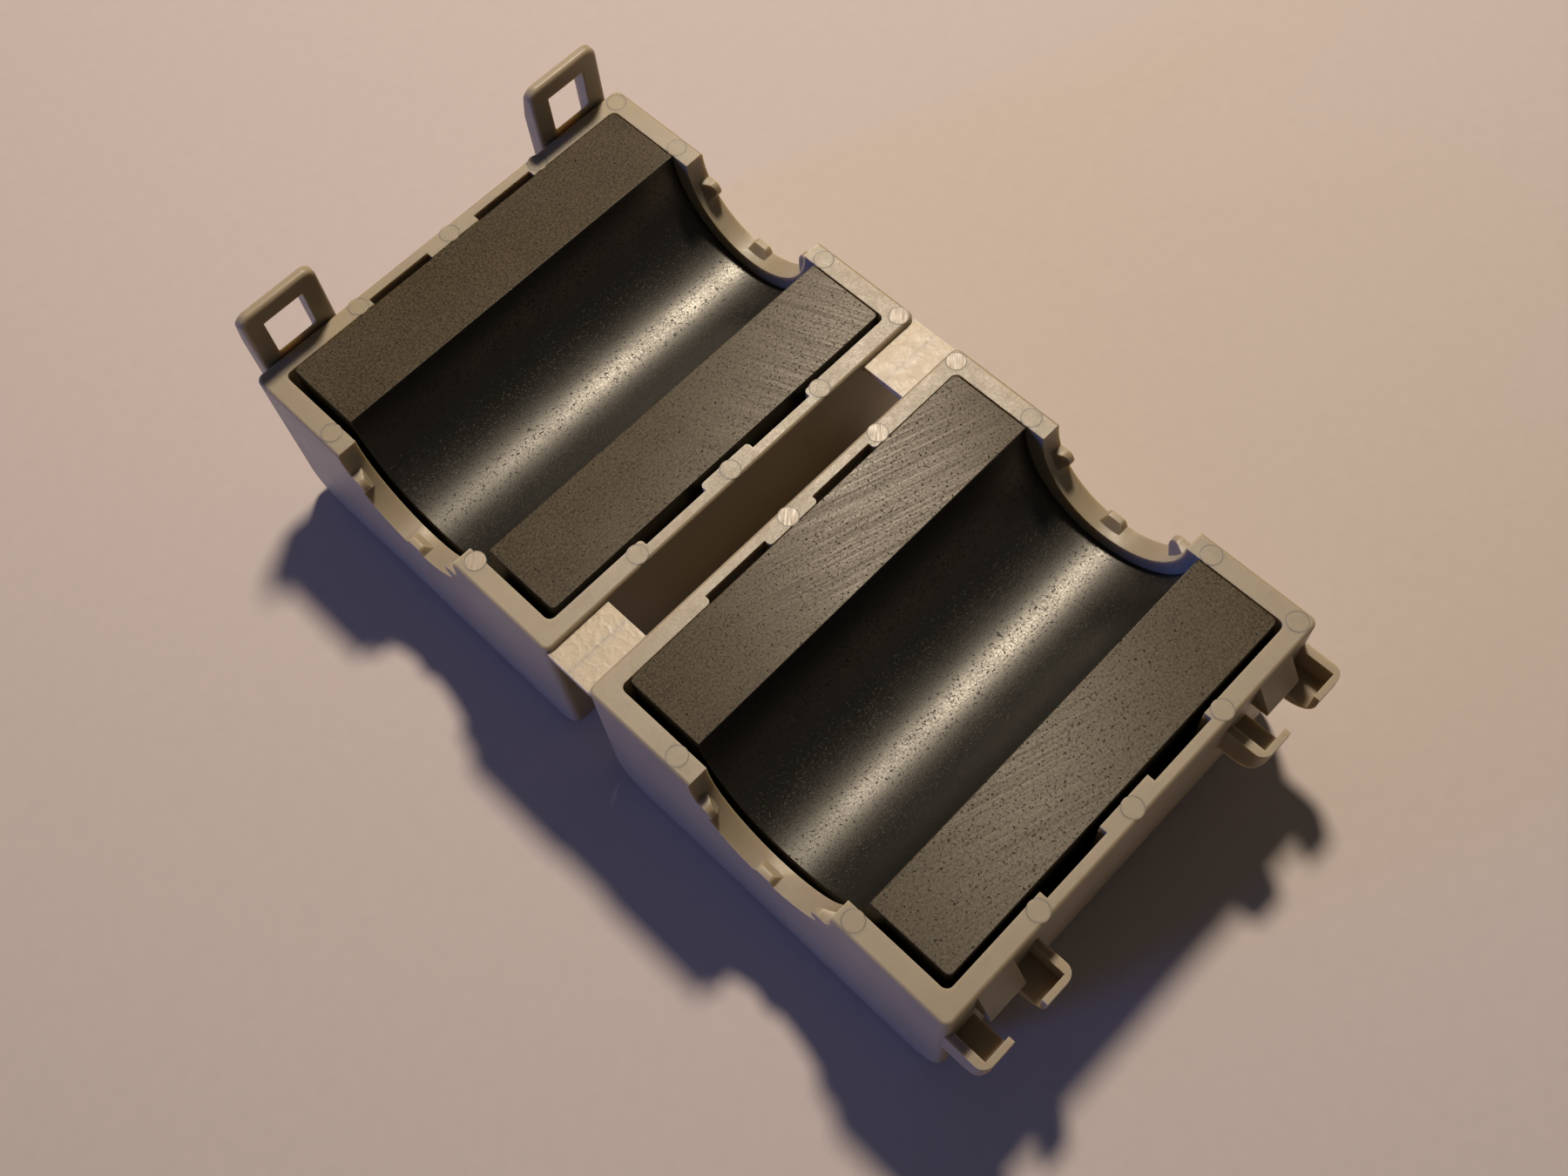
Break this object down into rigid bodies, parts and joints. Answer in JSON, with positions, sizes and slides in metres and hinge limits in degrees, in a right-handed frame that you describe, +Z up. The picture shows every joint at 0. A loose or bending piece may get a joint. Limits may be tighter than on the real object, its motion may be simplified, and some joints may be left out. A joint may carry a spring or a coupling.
{
  "type": "clip-on ferrite bead",
  "caption": "Open clip-on ferrite bead: plastic case halves on film hinge straps, with latch loops, catches and toothed cable cut-outs, round half-channel ferrite cores.",
  "frame": {"origin": "middle of the overall box at table level, with the case open and lying on its backs", "axes": "+X along the cable channels and the hinge, +Y from the hinge towards the half with the latch loops, +Z up out of the open case"},
  "size_m": [0.0344, 0.0682, 0.0202],
  "materials": {
    "case_plastic": "satin grey-beige moulded plastic",
    "strap_plastic": "the same plastic, stretched paler in the film hinge",
    "ferrite": "matte dark sintered ferrite with ground joint faces"
  },
  "bodies": {
    "loop_half": {"loop_half_shell": "case_plastic", "loop_half_core": "ferrite"},
    "hinge_link": {"near_hinge_strap": "strap_plastic", "far_hinge_strap": "strap_plastic"},
    "catch_half": {"catch_half_shell": "case_plastic", "catch_half_core": "ferrite"},
    "near_loop": {"near_latch_loop": "case_plastic"},
    "far_loop": {"far_latch_loop": "case_plastic"}
  },
  "joints": [
    {"name": "strap_fold_loop_side", "type": "hinge", "parent": "loop_half", "child": "hinge_link", "pos_m": [0, 0.00121, 0.0145], "axis": [-1, 0, 0], "range_deg": [0, 90]},
    {"name": "strap_fold_catch_side", "type": "hinge", "parent": "hinge_link", "child": "catch_half", "pos_m": [0, 0.00018, 0.0145], "axis": [-1, 0, 0], "range_deg": [0, 90]},
    {"name": "near_loop_flex", "type": "hinge", "parent": "loop_half", "child": "near_loop", "pos_m": [-0.013, 0.0341, 0.0125], "axis": [1, 0, 0], "range_deg": [-10, 0], "stiffness_Nm_per_rad": 0.01},
    {"name": "far_loop_flex", "type": "hinge", "parent": "loop_half", "child": "far_loop", "pos_m": [0.013, 0.0341, 0.0125], "axis": [1, 0, 0], "range_deg": [-10, 0], "stiffness_Nm_per_rad": 0.01}
  ]
}
